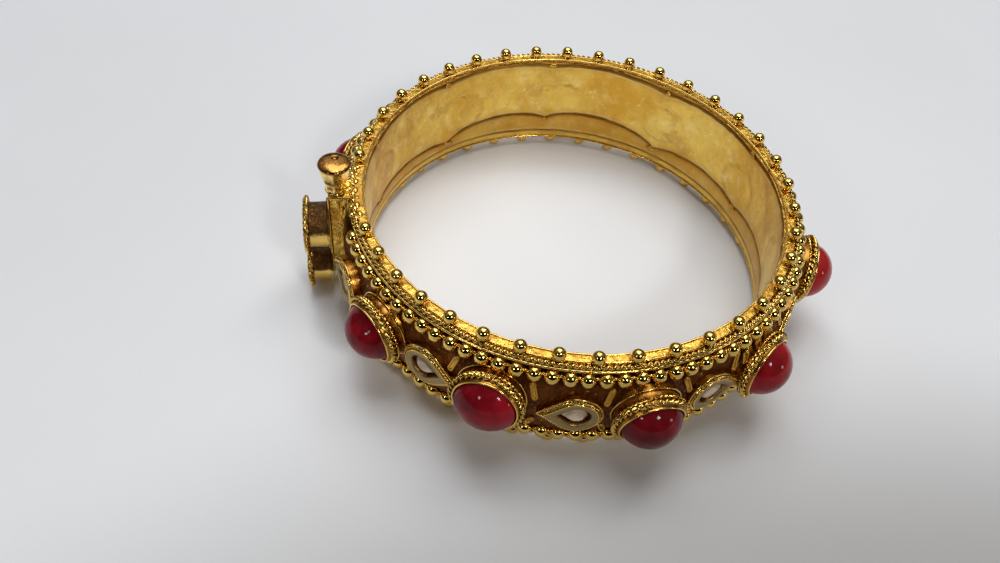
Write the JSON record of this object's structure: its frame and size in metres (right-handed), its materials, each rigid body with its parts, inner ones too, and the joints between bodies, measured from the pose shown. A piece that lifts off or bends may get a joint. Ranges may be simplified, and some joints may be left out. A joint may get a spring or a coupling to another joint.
{
  "type": "kundan bangle",
  "caption": "Wide round bangle that opens at a screw clasp, with domed red stones, pear-shaped flat stones, twisted wire and beaded rims.",
  "frame": {"origin": "centre of the wrist opening, midway between the two rims", "axes": "+Z along the axis of the wrist opening, up as the bangle lies on its side; the clasp is at -X, and its screw's head stands up"},
  "size_m": [0.0724, 0.0733, 0.0219],
  "materials": {
    "gold": "warm 22 carat gold, polished on beads and wires, darker and matt in the recesses, satin and lightly hammered inside",
    "screw_gold": "polished gold with small scratches",
    "ruby": "deep crimson, smooth domed, translucent",
    "polki": "flat grey-white uncut diamond over silver foil, polished"
  },
  "bodies": {
    "bangle": {"band": "gold", "ruby_1": "ruby", "ruby_2": "ruby", "ruby_3": "ruby", "ruby_4": "ruby", "ruby_5": "ruby", "ruby_6": "ruby", "ruby_7": "ruby", "ruby_8": "ruby", "ruby_9": "ruby", "ruby_10": "ruby", "polki_1": "polki", "polki_2": "polki", "polki_3": "polki", "polki_4": "polki", "polki_5": "polki", "polki_6": "polki", "polki_7": "polki", "polki_8": "polki", "polki_9": "polki", "polki_10": "polki", "polki_11": "polki", "clasp_stone_upper": "polki", "clasp_stone_lower": "polki"},
    "screw": {"screw": "screw_gold"}
  },
  "joints": [
    {"name": "screw_slide", "type": "slide", "parent": "bangle", "child": "screw", "axis": [0, 0, 1], "range_m": [0, 0.014]}
  ]
}
